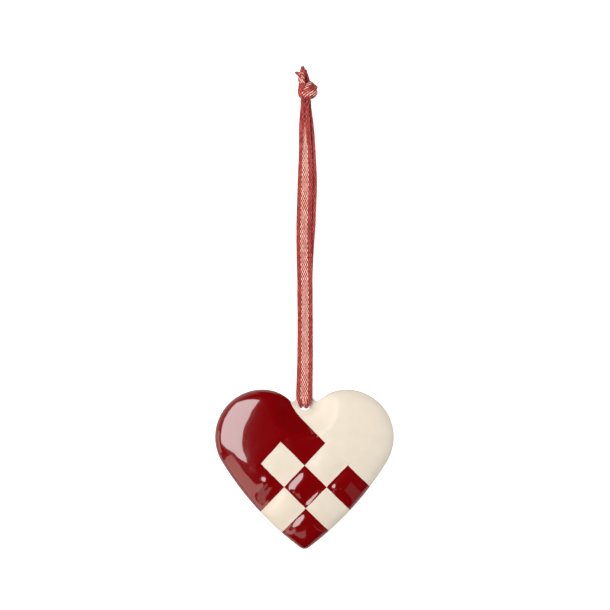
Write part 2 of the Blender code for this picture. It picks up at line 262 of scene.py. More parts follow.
def cloth_sheet(name, rows, facing):
    """The middle surface as a mesh of one layer, which the threads are laid on."""
    count, wide = rows.shape[:2]
    quads = grid_faces(count, wide)
    mesh = new_mesh(name, rows, quads if facing > 0 else [quad[::-1] for quad in quads])
    u, v = np.meshgrid(np.linspace(0, 1, wide), np.linspace(0, 1, count))
    strip_uvs(mesh, np.column_stack([u.ravel(), v.ravel()]))
    mesh.shade_smooth()
    return new_object(name, mesh)


def cloth_body(name, rows, normals, material):
    """The closed strip: the same surface with the cloth's thickness and rounded selvedges."""
    count, wide = rows.shape[:2]
    half = CLOTH_THICKNESS / 2

    def selvedge(last, beside):
        away = rows[:, last] - rows[:, beside]
        return (rows[:, last] + away / np.linalg.norm(away, axis=1, keepdims=True) * half)[:, None]

    upper, lower = rows + normals * half, (rows - normals * half)[:, ::-1]
    rings = np.concatenate([upper, selvedge(-1, -2), lower, selvedge(0, 1)], axis=1)
    size = rings.shape[1]
    faces = grid_faces(count, size, closed=True)
    for base, order in ((0, -1), ((count - 1) * size, 1)):
        back = base + 2 * wide
        faces += [(base + j, base + j + 1, back - j - 1, back - j)[::order] for j in range(wide - 1)]
        faces.append((base + wide - 1, base + wide, base + wide + 1)[::order])
        faces.append((back, back + 1, base)[::order])
    mesh = new_mesh(name, rings, faces, material)
    u = np.linspace(0, 1, wide)
    ring_u = np.concatenate([u, [1.0], u[::-1], [0.0]])
    along = np.repeat(np.linspace(0, 1, count), size)
    strip_uvs(mesh, np.column_stack([np.tile(ring_u, count), along]))
    face_outwards(mesh)
    mesh.shade_smooth()
    return new_object(name, mesh)


flat_cloth = cloth_section(RIBBON_WIDTH, fold=0.0, cup=0.0, crease=0.0)[0]
print("points across flat cloth:", len(flat_cloth), "over", in_mm(np.ptp(flat_cloth)), "mm")

# %% [markdown]
# ## The threads of the weave
#
# Close up, the ribbon is made of short lengthwise threads that come up, run over the cloth and go down again, each
# column half a thread behind its neighbour. A bump map could suggest them, but it goes flat at the selvedge and in a
# close view. Geometry Nodes can lay the real threads: the tree counts out a grid of points, finds each point's
# place on the cloth by its UV map, and puts a small grain there that points along the cloth. Every size is a named
# input, so the same tree serves both legs and the knot.

# %% Helpers for trees of nodes


def add_node(tree, kind, sockets=None, **settings):
    """A node with its settings, and its inputs either set or linked."""
    node = tree.nodes.new(kind)
    for name, value in settings.items():
        setattr(node, name, value)
    for name, value in (sockets or {}).items():
        if isinstance(value, bpy.types.NodeSocket):
            tree.links.new(value, node.inputs[name])
        else:
            node.inputs[name].default_value = value
    return node


def made_by(tree, kind, sockets=None, **settings):
    """What comes out of the first socket of a new node."""
    return add_node(tree, kind, sockets, **settings).outputs[0]


def calculate(tree, operation, *values, **settings):
    """The result of one sum, as a socket."""
    return made_by(tree, "ShaderNodeMath", dict(enumerate(values)), operation=operation, **settings)


def vector(tree, operation, first, second):
    """The same with vectors. What scales one is a number, and so is a distance or a dot product."""
    sockets = {0: first, "Scale" if operation == "SCALE" else 1: second}
    node = add_node(tree, "ShaderNodeVectorMath", sockets, operation=operation)
    return node.outputs["Value" if operation in ("DISTANCE", "DOT_PRODUCT") else "Vector"]


def new_tree(name, kind, inputs, output):
    """A tree of nodes with named inputs, each with its kind and value, and one output."""
    tree = bpy.data.node_groups.new(name, kind)
    for title, socket_kind, value in inputs:
        socket = tree.interface.new_socket(title, in_out="INPUT", socket_type="NodeSocket" + socket_kind)
        if value is not None:
            socket.default_value = value
    tree.interface.new_socket(output[0], in_out="OUTPUT", socket_type="NodeSocket" + output[1])
    return tree


print("the nodes are named as in Blender", bpy.app.version_string)

# %% The tree that lays threads on cloth
THREAD_LIFT = 0.14 * MM
LAST_PLACE = 0.999
# Where the stripe is folded away it narrows to nothing, over one sixth of the strip
STRIPE_NARROWS = 6.0
THREAD_INPUTS = (
    ("Cloth", "Geometry", None),
    ("Columns", "Int", 15),
    ("Rows", "Int", 60),
    ("Stripe Share", "Float", 0.44),
    ("Stripe Until", "Float", 2.0),
    ("Thread Length", "Float", 1.34 * MM),
    ("Thread Width", "Float", 0.38 * MM),
    ("Thread Height", "Float", 0.26 * MM),
    ("Lift", "Float", THREAD_LIFT),
    ("Lean", "Float", 0.0),
    ("Looseness", "Float", 0.12),
    ("Seed", "Int", 3),
    ("Thread", "Material", None),
)
thread_tree = new_tree("threads on cloth", "GeometryNodeTree", THREAD_INPUTS, ("Threads", "Geometry"))


def build_thread_tree(tree):
    given = tree.nodes.new("NodeGroupInput").outputs
    number, made = partial(calculate, tree), partial(made_by, tree)

    # Each point's place on the cloth: every other column starts half a thread later
    index = made("GeometryNodeInputIndex")
    column = number("MODULO", index, given["Columns"])
    row = number("FLOOR", number("DIVIDE", index, given["Columns"]))
    across = number("DIVIDE", number("ADD", column, 0.5), given["Columns"])
    later = number("MULTIPLY", number("MODULO", column, 2.0), 0.5)
    along = number("DIVIDE", number("ADD", number("ADD", row, later), 0.25), given["Rows"])
    place = made("ShaderNodeCombineXYZ", {0: across, 1: along})

    def attribute(name):
        return made("GeometryNodeInputNamedAttribute", {"Name": name}, data_type="FLOAT_VECTOR")

    layer = attribute("cloth")

    def on_cloth(value):
        sockets = {"Mesh": given["Cloth"], "Value": value, "Source UV Map": layer, "Sample UV": place}
        return made("GeometryNodeSampleUVSurface", sockets, data_type="FLOAT_VECTOR")

    position, normal = on_cloth(made("GeometryNodeInputPosition")), on_cloth(made("GeometryNodeInputNormal"))
    spot = vector(tree, "ADD", position, vector(tree, "SCALE", normal, given["Lift"]))
    points = made("GeometryNodePoints", {"Count": number("MULTIPLY", given["Columns"], given["Rows"])})
    placed = made("GeometryNodeSetPosition", {"Geometry": points, "Position": spot})
    too_far = number("GREATER_THAN", along, LAST_PLACE)
    kept = made("GeometryNodeDeleteGeometry", {"Geometry": placed, "Selection": too_far}, domain="POINT")

    def chance(seed, low, high):
        sockets = {2: low, 3: high, "Seed": seed}
        return add_node(tree, "FunctionNodeRandomValue", sockets, data_type="FLOAT").outputs[1]

    # A grain that is stretched along the cloth, some a little longer than others
    grain = made("GeometryNodeMeshUVSphere", {"Segments": 6, "Rings": 4, "Radius": 0.5})
    smooth = made("GeometryNodeSetShadeSmooth", {"Geometry": grain})
    leaning = {"Vector": on_cloth(attribute("forward")), "Axis": normal, "Angle": given["Lean"]}
    turned = made("ShaderNodeVectorRotate", leaning, rotation_type="AXIS_ANGLE")
    axes = {"Primary Axis": normal, "Secondary Axis": turned}
    pointed = made("FunctionNodeAxesToRotation", axes, primary_axis="Z", secondary_axis="Y")
    shorter, longer = (number(operation, 1.0, given["Looseness"]) for operation in ("SUBTRACT", "ADD"))
    stretch = chance(given["Seed"], shorter, longer)
    length, height = (number("MULTIPLY", given[name], stretch) for name in ("Thread Length", "Thread Height"))
    size = made("ShaderNodeCombineXYZ", {0: given["Thread Width"], 1: length, 2: height})
    laid = {"Points": kept, "Instance": smooth, "Rotation": pointed, "Scale": size}
    grains = made("GeometryNodeInstanceOnPoints", laid)

    def stored(geometry, name, value):
        sockets = {"Geometry": geometry, "Name": name, "Value": value}
        return made("GeometryNodeStoreNamedAttribute", sockets, data_type="FLOAT", domain="INSTANCE")

    # What the material reads: whether a thread is in the stripe, and a tone of its own
    from_middle = number("ABSOLUTE", number("SUBTRACT", across, 0.5))
    to_its_end = number("SUBTRACT", given["Stripe Until"], along)
    shown = number("MULTIPLY", to_its_end, STRIPE_NARROWS, use_clamp=True)
    half_stripe = number("MULTIPLY", number("MULTIPLY", given["Stripe Share"], 0.5), shown)
    marked = stored(grains, "pale", number("LESS_THAN", from_middle, half_stripe))
    toned = stored(marked, "tone", chance(number("ADD", given["Seed"], 7.0), 0.0, 1.0))
    real = made("GeometryNodeRealizeInstances", {"Geometry": toned})
    painted = made("GeometryNodeSetMaterial", {"Geometry": real, "Material": given["Thread"]})
    tree.links.new(painted, tree.nodes.new("NodeGroupOutput").inputs[0])


build_thread_tree(thread_tree)
print("thread tree:", len(THREAD_INPUTS), "inputs and", len(thread_tree.nodes), "nodes")

# %% Run a tree and keep what it makes


def evaluated(obj):
    """What an object's modifiers make of it, as a mesh of its own."""
    depsgraph = bpy.context.evaluated_depsgraph_get()
    return bpy.data.meshes.new_from_object(obj.evaluated_get(depsgraph), depsgraph=depsgraph)


def grow(name, base, tree, values):
    """What a tree makes of an object, as a plain mesh."""
    modifier = base.modifiers.new(tree.name, "NODES")
    modifier.node_group = tree
    for item in tree.interface.items_tree:
        if item.in_out == "INPUT" and item.name in values:
            modifier[item.identifier] = values[item.name]
    mesh = evaluated(base)
    base.modifiers.remove(modifier)
    mesh.name = name
    return new_object(name, mesh)


def joined(name, parts):
    """One object from several, all of them in place."""
    with bpy.context.temp_override(active_object=parts[0], selected_editable_objects=parts):
        bpy.ops.object.join()
    parts[0].name = name
    return parts[0]


def triangles(obj):
    return sum(len(face.vertices) - 2 for face in obj.data.polygons)


print("ready to grow:", [tree.name for tree in bpy.data.node_groups])

# %% [markdown]
# ## The ribbon's finish
#
# The threads are matt cotton, brick red, with a pale pink cream stripe along the middle. One colour for each would
# look like plastic, because dyed thread is never even. So each thread has a tone of its own, which the tree gave it
# by chance, and a noise that is finer than a thread mottles it. The mottling is a group of shader nodes, because the
# enamel uses it as well with other numbers.

# %% A group for mottling, and helpers for materials
MOTTLING_INPUTS = (("Scale", "Float", 1000.0), ("Amount", "Float", 0.2), ("Detail", "Float", 2.0))
mottling = new_tree("mottling", "ShaderNodeTree", MOTTLING_INPUTS, ("Factor", "Float"))


def build_mottling(tree):
    given = tree.nodes.new("NodeGroupInput").outputs
    where = tree.nodes.new("ShaderNodeTexCoord").outputs["Object"]
    noise = made_by(tree, "ShaderNodeTexNoise", {"Vector": where, "Scale": given["Scale"], "Detail": given["Detail"]})
    centred = calculate(tree, "SUBTRACT", noise, 0.5)
    factor = calculate(tree, "MULTIPLY_ADD", centred, calculate(tree, "MULTIPLY", given["Amount"], 2.0), 1.0)
    tree.links.new(factor, tree.nodes.new("NodeGroupOutput").inputs[0])


def start_material(name, **values):
    """A new material with its shader's plain sockets set."""
    made = bpy.data.materials.new(name)
    made.use_nodes = True
    shader = made.node_tree.nodes["Principled BSDF"]
    for socket, value in values.items():
        shader.inputs[socket.replace("_", " ")].default_value = value
    return made, made.node_tree, shader


def mottled(tree, colour, scale, amount, detail=2.0):
    """A colour, or a socket of one, multiplied by the mottling."""
    sockets = {"Scale": scale, "Amount": amount, "Detail": detail}
    return vector(tree, "SCALE", colour, made_by(tree, "ShaderNodeGroup", sockets, node_tree=mottling))


def mixed(tree, share, first, second):
    """Between two colours by a share that changes over the surface."""
    mix = add_node(tree, "ShaderNodeMix", {"Factor": share}, data_type="RGBA")
    for socket, value in zip([s for s in mix.inputs if s.type == "RGBA"], (first, second)):
        if isinstance(value, bpy.types.NodeSocket):
            tree.links.new(value, socket)
        else:
            socket.default_value = (*value, 1.0)
    return next(s for s in mix.outputs if s.type == "RGBA")


build_mottling(mottling)
print("mottling:", len(mottling.nodes), "nodes")

# %% The thread, and the ground under it in painted shade
RED_THREADS = ((0.34, 0.030, 0.026), (0.74, 0.135, 0.108))
PALE_THREADS = ((0.77, 0.40, 0.31), (0.97, 0.79, 0.66))
# The ground shows only in the gaps between the threads, and its colours are painted shade: the cloth's own red,
# darkened as if those gaps were in shadow, and still a dark red under the pale stripe
RED_SHADED_GROUND = (0.24, 0.020, 0.018)
PALE_SHADED_GROUND = (0.38, 0.042, 0.031)
# How far from the middle the ground's painted shade is the paler red, as a share of its width
GROUND_STRIPE = 0.23

thread_material, tree, shader = start_material("cotton thread", Roughness=0.82, Sheen_Weight=0.15)
pale, tone = (add_node(tree, "ShaderNodeAttribute", attribute_name=name).outputs["Fac"] for name in ("pale", "tone"))
thread_colour = mixed(tree, pale, mixed(tree, tone, *RED_THREADS), mixed(tree, tone, *PALE_THREADS))
tree.links.new(mottled(tree, thread_colour, scale=900.0, amount=0.4), shader.inputs["Base Color"])

# This material paints the shade in the gaps between the threads
ground_shade_material, tree, shader = start_material("cotton shade between threads", Roughness=0.9, Sheen_Weight=0.1)
across = made_by(tree, "ShaderNodeSeparateXYZ", {0: made_by(tree, "ShaderNodeUVMap", uv_map="cloth")})
off_middle = calculate(tree, "ABSOLUTE", calculate(tree, "SUBTRACT", across, 0.5))
ground_shade_colour = mixed(tree, calculate(tree, "LESS_THAN", off_middle, GROUND_STRIPE), RED_SHADED_GROUND, PALE_SHADED_GROUND)
tree.links.new(mottled(tree, ground_shade_colour, scale=1400.0, amount=0.3), shader.inputs["Base Color"])
print("ribbon materials:", thread_material.name, "and", ground_shade_material.name)

# %% Cloth with its threads
PICK_LENGTH = 1.71 * MM
FIRST_SEED = 5


def woven(name, rows, forwards, facing, length, lean=0.0, faces=(1, -1), stripe=0.44, columns=15, until=2.0):
    """A woven strip: its closed ground and the threads on the faces that are asked for."""
    normals = surface_normals(rows, facing)
    # Away from the knot's turns the ground stays a step inside the outermost threads
    inner = slice(1, -1) if rows.shape[1] > ACROSS_STEPS else slice(None)
    parts = [cloth_body(name, rows[:, inner], normals[:, inner], ground_shade_material)]
    sheet = cloth_sheet(name + " sheet", rows, facing)
    direction = sheet.data.attributes.new("forward", "FLOAT_VECTOR", "POINT")
    direction.data.foreach_set("vector", np.repeat(forwards, rows.shape[1], axis=0).astype(np.float32).ravel())
    for face in faces:
        sizes = {
            "Columns": columns,
            "Rows": round(length / PICK_LENGTH),
            "Stripe Share": stripe,
            "Stripe Until": until,
            "Lift": face * THREAD_LIFT,
            "Lean": lean,
            "Seed": FIRST_SEED + face,
            "Thread": thread_material,
        }
        parts.append(grow(name + " threads", sheet, thread_tree, sizes))
    bpy.data.objects.remove(sheet)
    return parts


print("rows of threads on the front leg:", round(line_length(front_line) / PICK_LENGTH))

# %% [markdown]
# ## The two legs
#
# A leg is pinched to two rounded lobes where it comes up through the hole, opens to its full width over the tab, and
# is gathered again under the knot. Cloth simulation could fold it, but a fold that has to pass a 4 mm hole in one
# known place is easier to say than to simulate: the width and the fold's height change along the line.

# %% Sections along a leg
# The pale stripe is folded away towards the knot: this says, as a share of the leg, where it would be gone
STRIPE_UNTIL = 1.01
FOLDED_WIDTH = 3.8 * MM
FOLD_AT_HOLE = 0.5 * MM
RISE_AT_HOLE = 0.8 * FOLD_AT_HOLE
CREASE_AT_HOLE = -0.145
GAP_AT_HOLE, GAP_SHARE = 0.5 * MM, 0.06
OPENS_AFTER, OPENS_OVER = 1.1 * MM, 3.4 * MM
# The valley's share of the width, how much of that share a deep valley loses, and how deep that one is
VALLEY_SHARE, SHARE_LOST, DEEP_VALLEY = 0.105, 0.075, 1.4 * MM
PLEATS = 0.16 * MM
CUP = 0.26 * MM
# Distance past the hole, the width that shows and the depth of the valley, all in millimetres
LEG_WIDTHS = ((0, 6.0, 0), (8, 5.98, 0), (14, 5.8, 0), (24, 5.62, 0), (82, 5.62, 0), (86, 5.3, 0.2), (90, 4.9, 0.42),
              (95, 4.6, 0.56), (99, 4.35, 0.7), (103, 4.0, 0.85), (106, 3.5, 1.0), (108, 3.25, 1.05),
              (110.6, 3.1, 1.05))


def leg_sections(line, crease, valley_at):
    """Two lobes at the hole, cupped cloth after it, and a valley with pleats under the knot."""
    found = []
    travelled = 0.0
    places, widths, valleys = zip(*LEG_WIDTHS)
    for k, point in enumerate(line):
        travelled += (point - line[k - 1]).length if k else 0.0
        along = (point.y - HOLE.y) / MM
        opened = float(smooth_step((travelled - OPENS_AFTER) / OPENS_OVER))
        width = FOLDED_WIDTH + (np.interp(along, places, widths) * MM - FOLDED_WIDTH) * opened
        valley = np.interp(along, places, valleys) * MM
        if valley == 0:
            folded = 1 - opened
            aside = crease + (CREASE_AT_HOLE - crease) * folded
            across, through = cloth_section(width, FOLD_AT_HOLE * folded, CUP, aside, GAP_AT_HOLE * folded, GAP_SHARE)
            found.append((across, through + RISE_AT_HOLE * folded))
        else:
            share = VALLEY_SHARE - SHARE_LOST * (valley / DEEP_VALLEY) ** 2
            across, through = cloth_section(width, 0.0, CUP, valley_at, valley, share)
            pleats = PLEATS * valley / DEEP_VALLEY * np.cos(np.linspace(0, 8 * np.pi, len(through)))
            found.append((across, through + pleats))
    return found


def build_leg(name, line, facing, crease, valley_at):
    rows, forwards = strip_points(line, leg_sections(line, crease, valley_at), Vector((1.0, 0.0, 0.0)), facing)
    return woven(name, rows, forwards, facing, line_length(line), until=STRIPE_UNTIL)


front_leg = joined("ribbon_front_leg", build_leg("front leg", front_line, 1, crease=-0.05, valley_at=0.03))
back_leg = joined("ribbon_back_leg", build_leg("back leg", back_line, -1, crease=0.04, valley_at=-0.05))
print("triangles in the legs:", triangles(front_leg), triangles(back_leg))

# %% [markdown]
# ## The knot
#
# Both legs end in one overhand knot: a core of crushed ribbon, a wrap round its middle, a turn round its lower half,
# a band over its shoulder and two tails. A real knot could be tied by simulation, but its turns would come out in
# places of their own. Each turn is wrapped round the core instead, as leaning rings of the same woven strip, and the
# lean of the threads shows that the cloth is twisted there.

# %% The knot's core and the turns round it
KNOT_CENTRE = Vector((1.15, 137.44, 3.4)) * MM
KNOT_RADII = np.array((2.7, 2.9, 2.35)) * MM
CRUMPLE = 0.12 * MM
# How near to the ends of the core a turn comes, and the core's size inside the form that the turns are wrapped on
NEAR_END, CORE_SHARE = 0.97, 0.98
# Each turn: its place up the core from -1 to 1 and its lean, its width and its lift off the core, the angles it goes
# between and its bulge, then the lean of its threads, its stripe's share and its columns of threads. Lengths are in
# millimetres, and angles in degrees but for the threads' lean, which is in radians
TURNS = (
    ("knot middle", 0.1, -20, 4.0, 0.12, -30, 320, 0.1, 0.5, 0.0, 9),
    ("knot turn", -0.72, 8, 3.2, 0.42, -60, 290, 0.25, 0.75, 0.6, 8),
    ("knot shoulder", 0.9, 50, 2.9, 0.5, -60, 290, 0.2, -0.7, 0.4, 7),
)


def turn_rows(place_on_core, lean, width, lift, start, end, bulge, count=56, across=17):
    """A part of a ring round the core: rows of points from one angle to another, seen from the knot's foot."""
    turn = np.array(Matrix.Rotation(lean, 3, "Z"))
    middle = place_on_core * (KNOT_RADII[1] - width / 2)
    rows, forwards = [], []
    for angle in np.radians(np.linspace(start, end, count)):
        outward = np.array((math.cos(angle), 0.0, math.sin(angle)))
        on_core = outward * (KNOT_RADII[0], 0.0, KNOT_RADII[2])
        row = []
        for share in np.linspace(-1, 1, across):
            along = np.clip(middle + share * width / 2, -NEAR_END * KNOT_RADII[1], NEAR_END * KNOT_RADII[1])
            hug = math.sqrt(1 - (along / KNOT_RADII[1]) ** 2)
            crown = bulge * (1 - share**2) + CRUMPLE * math.cos(3.0 * share + 2.0 * angle)
            place = on_core * hug + outward * (lift + crown) + (0.0, along, 0.0)
            row.append(turn @ place)
        rows.append(row)
        forwards.append(turn @ np.array((-math.sin(angle), 0.0, math.cos(angle))))
    return np.array(rows) + np.array(KNOT_CENTRE), np.array(forwards)


def build_turn(name, place_on_core, lean, width, lift, start, end, bulge, twist, stripe, columns):
    rows, forwards = turn_rows(place_on_core, math.radians(lean), width * MM, lift * MM, start, end, bulge * MM)
    length = np.linalg.norm(np.diff(rows[:, rows.shape[1] // 2], axis=0), axis=1).sum()
    return woven(name, rows, forwards, 1, length, twist, (1,), stripe, columns)


def crushed_core():
    """The crushed cloth inside: a lumpy ball."""
    bm = bmesh.new()
    bmesh.ops.create_uvsphere(bm, u_segments=48, v_segments=32, radius=1.0)
    for vert in bm.verts:
        angle, level = math.atan2(vert.co.z, vert.co.x), vert.co.y
        crease = 1 + 0.05 * math.sin(5 * angle + 4 * level) + 0.04 * math.cos(3 * angle - 6 * level)
        vert.co = KNOT_CENTRE + Vector(np.array(vert.co) * KNOT_RADII * crease * CORE_SHARE)
    mesh = bpy.data.meshes.new("knot core")
    bm.to_mesh(mesh)
    bm.free()
    mesh.shade_smooth()
    # The crushed core takes the ground's colour, painted shade included
    mesh.materials.append(ground_shade_material)
    return new_object("knot core", mesh)


knot_parts = [crushed_core()]
for turn in TURNS:
    knot_parts += build_turn(*turn)
print("turns round the core:", len(TURNS), "in", len(knot_parts), "parts")

# %% [markdown]
# The tails are the ribbon's two cut ends. They are folded lengthwise by the knot and their tips curl. The neck under
# the knot is both legs together, gathered.

# %% The tails and the neck
TAIL_CUP, TAIL_CREASE = 0.15 * MM, 0.05
NECK_WIDTHS, NECK_FOLD = (3.7, 2.8), 0.4 * MM
# Each strip: its route from the middle of the core, its widths on the way and the height of its fold, the direction
# across it, then the lean of its threads, its stripe's share and its columns of threads. Lengths are in millimetres
STRIPS = (
    ("left bulge", ((-1.9, -2.3, 1.8), (-2.5, -1.1, 2.2), (-2.4, 0.5, 2.5), (-2.1, 2.0, 2.4), (-1.9, 3.2, 1.9)),
     (1.0, 1.5, 2.2, 2.4, 1.6), 0.1, (0.95, 0.15, 0.2), 0.3, 0.0, 8),
    ("left tail", ((-1.85, 2.0, 1.8), (-2.1, 3.3, 2.0), (-2.25, 5.0, 1.8), (-2.4, 6.9, 1.3)),
     (2.2, 2.4, 2.4, 1.9), 0.12, (0.95, 0.15, 0.2), 0.75, 0.8, 7),
    ("curled corner", ((-2.3, 5.3, 1.5), (-3.1, 6.3, 1.3), (-4.5, 6.95, 1.0)),
     (1.6, 1.4, 0.5), 0.1, (0.5, -0.8, 0.3), 0.0, 0.0, 5),
    ("upright tail", ((-0.1, 0.8, -0.3), (-0.5, 3.1, -0.2), (-1.05, 5.2, -0.3), (-1.65, 7.4, -0.5), (-1.95, 9.3, -0.8)),
     (2.8, 3.0, 2.8, 2.7, 0.7), 0.3, (0.9, 0.1, 0.3), -0.3, 0.0, 8),
    ("filled shoulder", ((0.3, 3.4, -0.2), (1.2, 2.7, 0.2), (2.1, 1.8, 0.5), (2.8, 0.8, 0.5)),
     (1.5, 1.7, 1.8, 1.4), 0.1, (0.7, 0.7, 0.2), 0.0, 0.0, 8),
    ("nub", ((1.5, 0.8, 1.3), (2.5, 1.4, 1.3), (3.2, 2.1, 0.9)),
     (2.2, 2.2, 1.2), 0.15, (0.8, -0.6, 0.0), 0.0, 0.0, 5),
)


def build_strip(name, route, widths, fold, across, twist, stripe, columns):
    """A strip whose width goes through the given values from its start to its tip."""
    line = smooth_line([KNOT_CENTRE + Vector(point) * MM for point in route], step=0.25 * MM)
    shares = np.linspace(0, 1, len(line))
    wide = np.interp(shares, np.linspace(0, 1, len(widths)), widths) * MM
    sections = [cloth_section(width, fold * MM, TAIL_CUP, TAIL_CREASE) for width in wide]
    rows, forwards = strip_points(line, sections, Vector(across).normalized())
    return woven(name, rows, forwards, 1, line_length(line), twist, (1, -1), stripe, columns)


def build_neck(name, aside, height, facing):
    """The end of a leg, which goes on into the knot."""
    start = Vector((0.5 * MM, HOLE.y + LEG_END, height))
    way = ((0.0, -0.5, 0.0), (0.0, 1.0, 0.0), (0.25 + aside, 2.2, 0.35), (0.6 + aside, 3.6, 0.6))
    line = smooth_line([start + Vector(point) * MM for point in way], step=0.3 * MM)
    sections = [cloth_section(width * MM, NECK_FOLD, 0.0, 0.0) for width in np.linspace(*NECK_WIDTHS, len(line))]
    rows, forwards = strip_points(line, sections, Vector((1.0, 0.0, 0.0)), facing)
    return woven(name, rows, forwards, facing, line_length(line), stripe=0.0)


for strip in STRIPS:
    knot_parts += build_strip(*strip)
knot_parts += build_neck("front neck", 0.0, FRONT_AT_KNOT, 1)
knot_parts += build_neck("back neck", 0.1, 0.65 * MM, -1)
knot = joined("ribbon_knot_tied", knot_parts)
print("triangles in the knot:", triangles(knot))

# %% [markdown]
# ## The ribbon belongs to the model
#
# The legs and the knot ride on the model's root and take the place of the CAD solids that they copy. Both legs leave
# the heart at the hole and end in the knot.

# %% Tell the frame about the ribbon
for leg, line, node in ((front_leg, front_line, "ribbon_front"), (back_leg, back_line, "ribbon_back")):
    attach(leg, "root")
    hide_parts(node)
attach(knot, "root")
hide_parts("ribbon_knot")

# %% [markdown]
# ## The heart's outline
#
# The outline is made of circle arcs: two lobes, two long sides, a small tip, and a round tab with two little fillets.
# Tracing the photograph would also give an outline, but arcs stay perfectly smooth at any fineness, and enamel shows
# every dent in its reflections.

# %% The outline as points
HEART_WIDTH = 65.0 * MM
HEART_HEIGHT = 58.0 * MM
LOBE_RADIUS = 17.3 * MM
CLEFT_GAP = 1.6 * MM
SIDE_RADIUS = 112.0 * MM
TIP_RADIUS = 2.6 * MM
TAB_RADIUS = 4.0 * MM
TAB_FILLET = 1.0 * MM
OUTLINE_STEP = 0.5 * MM


def circles_meet(centre_a, radius_a, centre_b, radius_b):
    """The crossing of two circles that lies to the left of the way from a to b."""
    across = centre_b - centre_a
    along = (radius_a**2 - radius_b**2 + across.length_squared) / (2 * across.length)
    forward = across.normalized()
    return centre_a + forward * along + Vector((-forward.y, forward.x)) * math.sqrt(radius_a**2 - along**2)


def bearing(centre, point):
    """The direction of a point from a centre, as an angle."""
    return math.atan2(point.y - centre.y, point.x - centre.x)


def side_and_tip(lobe, leaving):
    """The centres of a long side, which leaves the lobe at an angle, and of the tip between both sides."""
    side = lobe - Vector((math.cos(leaving), math.sin(leaving))) * (SIDE_RADIUS - LOBE_RADIUS)
    return side, Vector((0.0, side.y - math.sqrt((SIDE_RADIUS - TIP_RADIUS) ** 2 - side.x**2)))


def arc(centre, radius, start, end):
    steps = max(3, round(abs(end - start) * radius / OUTLINE_STEP))
    angles = np.linspace(start, end, steps, endpoint=False)
    return [centre + Vector((math.cos(angle), math.sin(angle))) * radius for angle in angles]


def heart_outline():
    """From the top of the tab down the right side to the tip, and the same mirrored."""
    hole, lobe = HOLE.xy, Vector((HEART_WIDTH / 2 - LOBE_RADIUS, HEART_HEIGHT / 2 - LOBE_RADIUS))
    cleft_radius = lobe.x - CLEFT_GAP / 2
    cleft = Vector((lobe.x, HEART_HEIGHT / 2 - cleft_radius))
    fillet = circles_meet(hole, TAB_RADIUS + TAB_FILLET, cleft, cleft_radius + TAB_FILLET)
    # A side leaves its lobe at the one angle that gives the heart its height, which is found by halving
    low, high = math.radians(-75), math.radians(-10)
    for _ in range(50):
        leaving = (low + high) / 2
        if side_and_tip(lobe, leaving)[1].y - TIP_RADIUS < -HEART_HEIGHT / 2:
            high = leaving
        else:
            low = leaving
    side, tip = side_and_tip(lobe, leaving)
    half = arc(hole, TAB_RADIUS, math.pi / 2, bearing(hole, fillet))
    half += arc(fillet, TAB_FILLET, bearing(fillet, hole), bearing(fillet, cleft))
    half += arc(cleft, cleft_radius, bearing(cleft, fillet), math.pi / 2)
    half += arc(lobe, LOBE_RADIUS, math.pi / 2, leaving)
    half += arc(side, SIDE_RADIUS, leaving, bearing(side, tip))
    half += arc(tip, TIP_RADIUS, bearing(side, tip), -math.pi / 2)
    right = np.array(half + [tip - Vector((0.0, TIP_RADIUS))])
    return np.concatenate([right, right[1:-1][::-1] * (-1, 1)])


outline = heart_outline()
print("outline:", len(outline), "points,", in_mm(np.ptp(outline, axis=0)), "mm")

# %% [markdown]
# ## The domes
#
# Each half is puffed up like a cushion. Its height could come from a simulation of an inflated skin, but a rule gives
# the same form and never a wrinkle: the height grows with the square root of how far inside the outline a point
# lies. The distance to the nearest edge would leave a crease along the middle, so a smooth measure is used that
# counts the whole outline at once. Thick enamel fills the corner between the seam and the dome, so no step shows.

# %% The height of a dome at any point
DOME_RISE = 5.6 * MM
VALLEY_LENGTH = 9.0 * MM
DEEPEST = 8.75 * MM
EDGE_SOFTNESS = 0.5 * MM
# So many points at a time, to spare memory
PORTION = 4000


def depth_inside(points):
    """How far inside the outline each point is: like the distance near it, and level in the middle."""
    found = []
    for some in np.array_split(points, max(1, len(points) // PORTION)):
        to_start = outline[None] - some[:, None]
        to_end = np.roll(to_start, -1, axis=1)
        near = np.hypot(to_start[..., 0], to_start[..., 1])
        cross = to_start[..., 0] * to_end[..., 1] - to_start[..., 1] * to_end[..., 0]
        dot = (to_start * to_end).sum(axis=-1)
        weights = np.tan(np.arctan2(cross, dot) / 2) * (1 / near + 1 / np.roll(near, -1, axis=1))
        found.append(2 / np.abs(weights.sum(axis=1)))
    return np.concatenate(found)


def dome_height(points, depth):
    """Above the middle of the seam: half the seam's thickness with a round edge, and the dome on it."""
    past_tab = np.hypot(*(points - np.array(HOLE.xy)).T) - TAB_RADIUS
    soft = np.sqrt(depth**2 + EDGE_SOFTNESS**2) - EDGE_SOFTNESS
    dome = DOME_RISE * np.sqrt(np.minimum(soft / DEEPEST, 1.0)) * smooth_step(past_tab / VALLEY_LENGTH)
    half = SEAM_THICKNESS / 2
    edge = np.sqrt(1 - np.clip(1 - depth / half, 0.0, 1.0) ** 2)
    return dome + half * edge


middle = np.zeros((1, 2))
print("half of the heart's thickness:", in_mm(dome_height(middle, depth_inside(middle))[0]), "mm")

# %% [markdown]
# ## The woven check
#
# The front copies two folded papers, woven into each other. The squares could be painted alone, but on the real
# heart each square is pressed up a little, so that light catches its upper left edge. The same six lines give
# the paint its borders and the metal its shallow grooves, so both agree, but for one place where the real ones
# don't.

# %% The six lines of the check
# Each line is given by two of its points, in millimetres from the heart's middle
FALLING_LINES = (((-8.6, 10.25), (-15.75, 2.2)), ((7.6, 9.75), (-15.85, -15.3)), ((15.8, 1.8), (-8.2, -22.9)))
RISING_LINES = (((-0.95, 18.33), (7.64, 9.8)), ((-8.55, 10.25), (16.7, -14.85)), ((-15.7, 2.2), (9.05, -22.5)))


